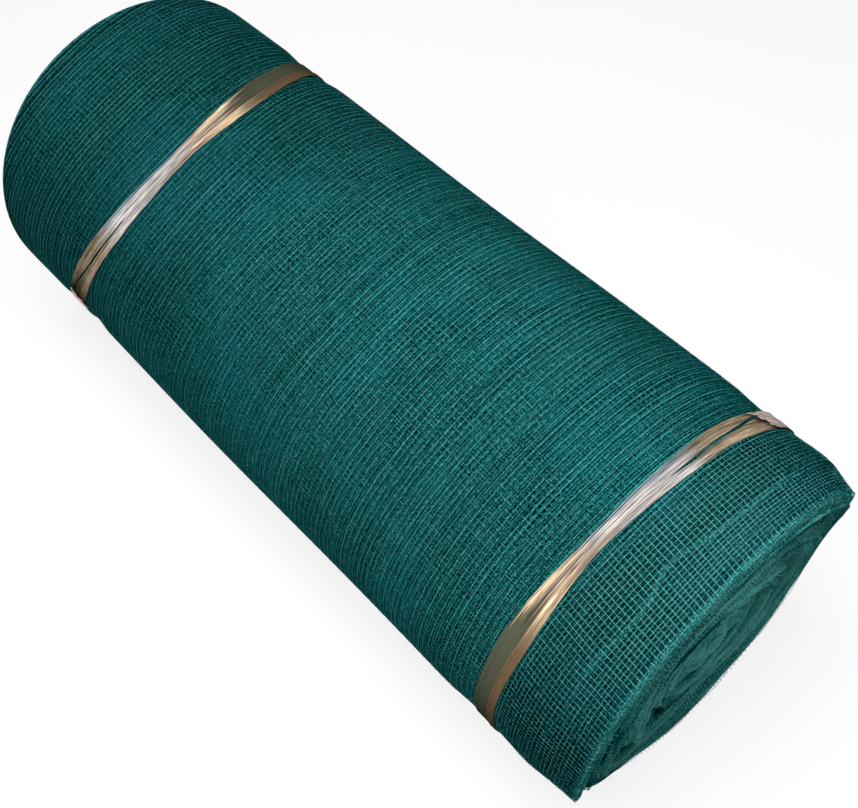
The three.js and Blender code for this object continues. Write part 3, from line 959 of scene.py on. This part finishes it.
# Tape ties: the course from the folded end right round, in degrees. Each row gives the tape's width,
# the height of its bunched folds, the split's place as a share of the width, and how gathered it is
courseKeys = ("at", "width", "bunch", "split", "gathered")
tapeCourse = np.array([
    (0, 35, 0.5, 0.2, 0.9), (16, 34, 1.4, 0.24, 1), (22, 34.5, 1.2, 0.36, 1), (28, 34, 1.1, 0.48, 1),
    (36, 33, 1.1, 0.56, 1), (50, 31.5, 1.4, 0.62, 1), (60, 28, 1.6, 0.6, 1), (70, 25, 1.9, 0.55, 1),
    (79, 20.5, 2.4, 0.5, 1), (88, 19.5, 2.4, 0.5, 1), (104, 30, 1.6, 0.55, 1), (118, 38, 1.2, 0.6, 0.2),
    (132, 36, 0.9, 0.6, 0.2), (150, 35, 0.9, 0.6, 0.2), (330, 34, 0.9, 0.5, 0.3), (360, 35, 0.5, 0.2, 0.9),
])
tapeForm = {
    "thick": 0.35, "seat": 0.45, "columns": 44, "steps": 420, "courseWidth": 40, "merge": 0.02,
    "gap": 3.2, "splitFrom": 11, "splitTo": 60, "splitOpens": 4, "splitCloses": 8,
    "flatten": (100, 116), "gatherAgain": (300, 345), "pressed": 1.5,
    "farSide": (0.12, 0.34), "foldEdge": 0.63, "foldSoft": 0.03,
    "streaks": ((2.2, 61, 0), (1.8, 113, 1), (1.4, 29, 2)),  # size, pace across and start
    "shade": 0.75, "shadeReach": 5,  # shade under the folded end
}
flapForm = {  # the free end, folded over the strands on a slant
    "from": -26, "far": 11.5, "near": 5, "columns": 14, "steps": 40, "lift": 0.5, "liftRun": (0, 0.5),
    "ragged": ((0.9, 17), (0.7, 41)), "crumple": ((0.3, 9, 0.5), (0.2, 23, -0.3)),  # sizes and paces
    "crumpleRun": (0.2, 0.6), "least": 0.7, "light": 0.9, "crumpleLight": 0.25, "paleRun": (0.1, 0.5),
}
pleats = [  # share of the width, breadth, height, sway, waves and start
    (0.05, 0.05, 0.7, 0.02, 3, 10), (0.17, 0.045, 0.9, 0.03, 4, 80), (0.29, 0.04, 0.6, 0.03, 5, 150),
    (0.42, 0.05, 1.0, 0.03, 3, 220), (0.57, 0.045, 0.75, 0.03, 4, 300), (0.71, 0.05, 0.9, 0.02, 5, 30),
    (0.86, 0.05, 0.7, 0.02, 4, 120),
]
# silver, bright, steel and gold are painted highlights and reflections on the gathered film, partly its
# own paler look; shadow is painted shade
tapeTones = {
    "pale": (0.313, 0.258, 0.218), "shadow": (0.031, 0.018, 0.012), "tan": (0.112, 0.087, 0.056),
    "stripe": (0.058, 0.048, 0.031), "warm": (0.126, 0.094, 0.063), "silverGlint": (0.245, 0.228, 0.221),
    "bright": (0.326, 0.282, 0.265), "steelGlint": (0.122, 0.139, 0.150), "rose": (0.231, 0.177, 0.136),
    "goldGlint": (0.360, 0.270, 0.170), "olive": (0.039, 0.041, 0.027), "copper": (0.073, 0.048, 0.025),
    "dusk": (0.041, 0.036, 0.024),
}
# Tones along the course, at the far edge, the middle and the near edge of the tape. The silver, bright,
# steel and gold rows are painted highlights; shadow rows are painted shade under the folded end
tapePaint = [
    (0, "pale", "shadow", "shadow"), (10, "stripe", "shadow", "shadow"),
    (16, "stripe", "shadow", "tan"), (22, "tan", "stripe", "tan"), (34, "tan", "tan", "warm"),
    (45, "tan", "tan", "tan"), (53, "steelGlint", "silverGlint", "silverGlint"), (66, "steelGlint", "silverGlint", "silverGlint"),
    (76, "steelGlint", "bright", "silverGlint"), (84, "steelGlint", "silverGlint", "rose"), (90, "rose", "rose", "rose"),
    (100, "goldGlint", "rose", "goldGlint"), (106, "goldGlint", "stripe", "goldGlint"), (111, "olive", "olive", "warm"),
    (118, "olive", "olive", "copper"), (142, "olive", "olive", "copper"),
    (156, "dusk", "olive", "copper"), (200, "dusk", "tan", "warm"), (330, "tan", "tan", "warm"),
    (360, "pale", "shadow", "shadow"),
]


def courseAt(s, key):
    return np.interp(s % 360, tapeCourse[:, 0], tapeCourse[:, courseKeys.index(key)])


# The place on the common course for an angle from a tie's own fold
def courseOf(tie, s):
    return s + tie["ahead"] + tie["quick"] * np.sin(np.radians(s))


def alongTie(tie, key, s):
    return np.interp(s % 360, [row[0] for row in tie[key]], [row[1] for row in tie[key]])


def pleatHeight(s, share):
    f = tapeForm
    ridge = np.zeros(np.broadcast(s, share).shape)
    flatten = ease(s % 360, *f["flatten"]) * (1 - ease(s % 360, *f["gatherAgain"]))
    for at, breadth, height, sway, waves, start in pleats:
        middle = at + sway * np.sin(np.radians(waves * s + start))
        stays = 1 if at > f["foldEdge"] else 1 - flatten
        ridge = np.maximum(ridge, height * stays * np.exp(-((share - middle) / breadth) ** 2))
    return courseAt(s, "bunch") * ridge


def paintAt(s, share):
    f = tapeForm
    at = [row[0] for row in tapePaint]
    for size, pace, start in f["streaks"]:
        s = s + size * np.sin(pace * share + start)
    sides = []
    for k in (1, 2, 3):
        tones = np.array([tapeTones[row[k]] for row in tapePaint])
        sides.append(np.stack([np.interp(s % 360, at, tones[:, c]) for c in range(3)], -1))
    far, middle, near = sides
    toMiddle = ease(share, *f["farSide"])[..., None]
    toNear = ease(share, f["foldEdge"] - f["foldSoft"], f["foldEdge"] + f["foldSoft"])[..., None]
    return between(between(far, middle, toMiddle), near, toNear)


def tapePoint(tie, s, share, height):
    a = tie["fold"] + tie["way"] * s
    radius = woundRadius(a, tie["middle"]) + groove["gap"] + height
    turn = np.radians(a)
    wide = courseAt(courseOf(tie, s), "width") * tie["gather"]
    x = tie["middle"] + tieWander(tie, a) + alongTie(tie, "off", s) + wide * (share - 0.5) + roll["offX"]
    floor = groove["lift"] - groove["gap"] - np.minimum(height, tapeForm["pressed"])
    z = np.maximum(roll["axis"] + radius * np.cos(turn), floor)
    return stacked(x, radius * np.sin(turn) + roll["offY"], z) * mm


def gridFaces(rows, columns, first, closed=False):
    i = np.arange(rows if closed else rows - 1)[:, None]
    j = np.arange(columns - 1)[None, :]
    here, there = first + i * columns + j, first + ((i + 1) % rows) * columns + j
    return stacked(here, here + 1, there + 1, there).reshape(-1, 4)


def tapeTie(name, tie, seed):
    f, flap = tapeForm, flapForm
    s = np.linspace(0, 360, f["steps"], endpoint=False)[:, None]
    c = courseOf(tie, s)
    opened = ease(c, f["splitFrom"], f["splitFrom"] + f["splitOpens"])
    opened = opened * (1 - ease(c, f["splitTo"] - f["splitCloses"], f["splitTo"]))
    slit = f["gap"] / 2 * opened / (courseAt(c, "width") * tie["gather"])
    split = courseAt(c, "split")
    across = np.linspace(0, 1, f["columns"] // 2)[None, :]
    strands = [across * (split - slit), split + slit + across * (1 - split - slit)]
    points, quads, tones, courses, gathers = [], [], [], [], []
    first = 0

    def addGrid(s, share, height, paint, closed):
        nonlocal first
        place = tapePoint(tie, s, share, height)
        points.append(place.reshape(-1, 3))
        quads.append(gridFaces(place.shape[0], place.shape[1], first, closed))
        tones.append(paint.reshape(-1, 3))
        course = stacked(np.radians(s) * roll["radius"], share * f["courseWidth"], 0)
        courses.append(course.reshape(-1, 3) * mm)
        gathers.append(np.broadcast_to(courseAt(courseOf(tie, s), "gathered"), share.shape).reshape(-1))
        first += place.shape[0] * place.shape[1]

    for share in strands:
        under = 1 - ease(s - between(flap["far"], flap["near"], share), 0, f["shadeReach"])
        light = alongTie(tie, "fade", s) * (1 - f["shade"] * under)
        paint = paintAt(c + 0 * share, share) * light[..., None]
        addGrid(s, share, f["seat"] + pleatHeight(c, share), paint, True)
    share = np.linspace(0, 1, flap["columns"])[None, :]
    tip = between(flap["far"], flap["near"], share)
    for k, (size, pace) in enumerate(flap["ragged"]):
        tip = tip + size * np.sin(pace * share + (k + 1) * seed)
    run = np.linspace(0, 1, flap["steps"])[:, None]
    s = between(flap["from"], tip, run)
    crumple = sum(size * np.sin(pace * share + slope * s) for size, pace, slope in flap["crumple"])
    lift = flap["lift"] * ease(run, *flap["liftRun"]) + crumple * ease(run, *flap["crumpleRun"])
    lift = lift + np.maximum(pleatHeight(s, share), flap["least"])
    pale = tie["flapLight"] * np.array(tapeTones["pale"])
    pale = pale * (flap["light"] + flap["crumpleLight"] * crumple[..., None])
    pale = between(np.array(tapeTones["tan"]), pale, ease(run, *flap["paleRun"])[..., None])
    addGrid(s, share + 0 * s, f["seat"] + lift, pale, False)
    faces = np.concatenate(quads)
    if tie["way"] > 0:
        faces = faces[:, ::-1]
    piece = newPiece(name, np.concatenate(points), faces, gatheredTape, True)
    paint = np.concatenate(tones)
    setAttribute(piece, "tapeTone", "FLOAT_COLOR", np.concatenate([paint, np.ones((len(paint), 1))], 1))
    setAttribute(piece, "tapeCourse", "FLOAT_VECTOR", np.concatenate(courses))
    setAttribute(piece, "tapeGather", "FLOAT", np.concatenate(gathers))
    bm = bmesh.new()
    bm.from_mesh(piece.data)
    bmesh.ops.remove_doubles(bm, verts=bm.verts, dist=f["merge"] * mm)
    bm.to_mesh(piece.data)
    bm.free()
    film = piece.modifiers.new("film", "SOLIDIFY")
    film.thickness = f["thick"] * mm
    film.offset = 0
    print("stage:", name, len(piece.data.polygons), "faces")
    return piece


tieNear = tapeTie("tape_tie_near", nearTie, 1.0)
tieFar = tapeTie("tape_tie_far", farTie, 2.6)

# Every piece lies still with the one body
for piece in netPieces + [netBody] + endPieces:
    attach(piece, "root")
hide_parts("net_roll")
for piece, node in ((tieNear, "tie_band_near"), (tieFar, "tie_band_far")):
    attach(piece, "root")
    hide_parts(node)

# Floor, light and camera
floorSpec = {  # a pale table that glows a little
    "size": 7.0, "patch": 1.5, "glow": 0.785,
    "shade": (0.12, 0.12, 0.1195, 1), "paler": (0.134, 0.134, 0.133, 1),
}


def paleFloor():
    bm = bmesh.new()
    bmesh.ops.create_grid(bm, x_segments=2, y_segments=2, size=floorSpec["size"])
    mesh = bpy.data.meshes.new("floor")
    bm.to_mesh(mesh)
    bm.free()
    material, tree, shader = newMaterial("paleFloor", **{
        "Roughness": 0.9, "Specular IOR Level": 0.1,
        "Emission Color": (1, 1, 1, 1), "Emission Strength": floorSpec["glow"],
    })
    place = addNode(tree, "ShaderNodeTexCoord").outputs["Object"]
    patches = noiseAt(tree, place, floorSpec["patch"])
    tint = mixColours(tree, patches, floorSpec["shade"], floorSpec["paler"])
    feed(tree, tint, shader, "Base Color")
    linkPiece("floor", mesh, material)


softLights = [
    {"name": "overhead", "place": (0.3, -0.6, 2.45), "size": 2.0, "power": 146},
    {"name": "endSide", "place": (2.4, 0.1, 1.3), "size": 1.4, "power": 13},
]
sky = {"shade": (0.95, 0.98, 1.0, 1), "strength": 0.1}
view = {
    "place": (0.7253, -0.5843, 1.3175), "azimuth": 48.34, "elevation": 52.06,
    "lens": 51.04, "sensor": 36, "reach": 50,
}


def lightAndCamera():
    for spec in softLights:
        light = bpy.data.lights.new(spec["name"], "AREA")
        light.size = spec["size"]
        light.energy = spec["power"]
        lamp = linkPiece(spec["name"], light)
        lamp.location = spec["place"]
        lamp.rotation_euler = (-lamp.location).to_track_quat("-Z", "Y").to_euler()
    world = bpy.data.worlds.new("studio")
    world.use_nodes = True
    background = world.node_tree.nodes["Background"]
    background.inputs["Color"].default_value = sky["shade"]
    background.inputs["Strength"].default_value = sky["strength"]
    scene.world = world
    lens = bpy.data.cameras.new("camera")
    lens.lens = view["lens"]
    lens.sensor_width = view["sensor"]
    lens.clip_end = view["reach"]
    camera = linkPiece("camera", lens)
    camera.location = view["place"]
    camera.rotation_euler = (math.radians(90 - view["elevation"]), 0, math.radians(view["azimuth"]))
    scene.camera = camera


paleFloor()
lightAndCamera()
print("stage: floor, light and camera set")
